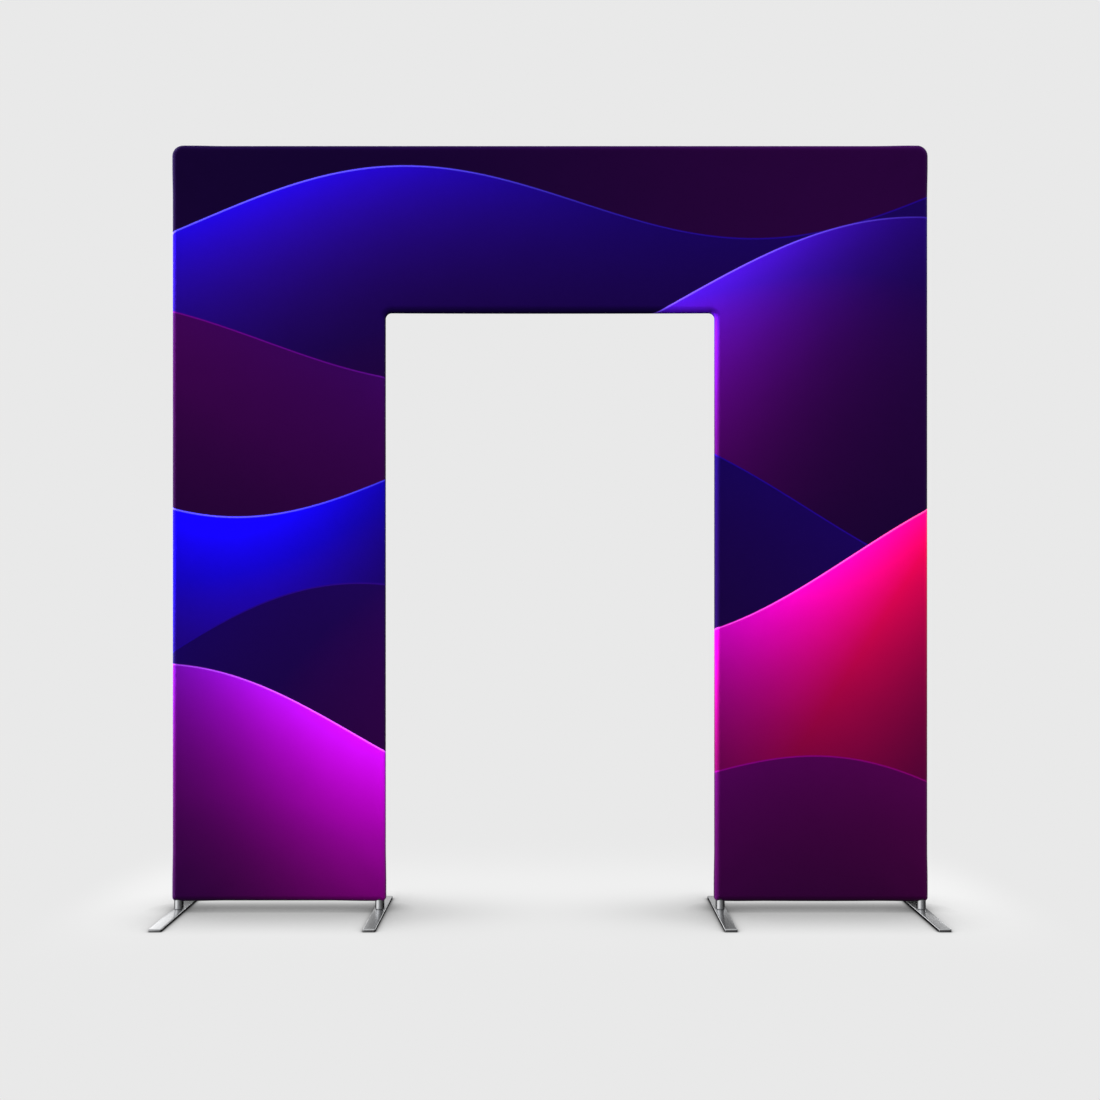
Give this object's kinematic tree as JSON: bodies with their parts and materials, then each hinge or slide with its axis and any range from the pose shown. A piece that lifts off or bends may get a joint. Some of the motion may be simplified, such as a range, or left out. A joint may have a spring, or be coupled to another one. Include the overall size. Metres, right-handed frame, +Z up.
{
  "type": "stretch fabric arch cover on a tube frame with foot plates",
  "caption": "Square stretch fabric arch with a doorway through its middle: a printed cover in front and back panels over a round tube frame, standing on posts with flat bar feet.",
  "frame": {"origin": "on the floor, under the middle of the stand's box", "axes": "+Z up, +X along the arch's width to the right as seen from the front, +Y to the rear; the front faces -Y"},
  "size_m": [2.5, 0.4, 2.536],
  "materials": {
    "cover_cloth": "matt printed stretch knit",
    "tube": "mill finish",
    "fitting": "moulded",
    "post": "satin",
    "foot": "satin, bevelled edges"
  },
  "bodies": {
    "root": {"cover_front_panel": "cover_cloth", "cover_back_panel": "cover_cloth", "outer_upright_left": "tube", "inner_upright_left": "tube", "bottom_bar_left": "tube", "outer_upright_right": "tube", "inner_upright_right": "tube", "bottom_bar_right": "tube", "top_bar": "tube", "lintel_bar": "tube", "top_fitting_left": "fitting", "lintel_fitting_left": "fitting", "top_fitting_right": "fitting", "lintel_fitting_right": "fitting", "bottom_fitting_outer_left": "fitting", "bottom_fitting_inner_left": "fitting", "bottom_fitting_inner_right": "fitting", "bottom_fitting_outer_right": "fitting", "post_outer_left": "post", "post_inner_left": "post", "post_inner_right": "post", "post_outer_right": "post", "foot_outer_left": "foot", "foot_inner_left": "foot", "foot_inner_right": "foot", "foot_outer_right": "foot"}
  },
  "joints": []
}
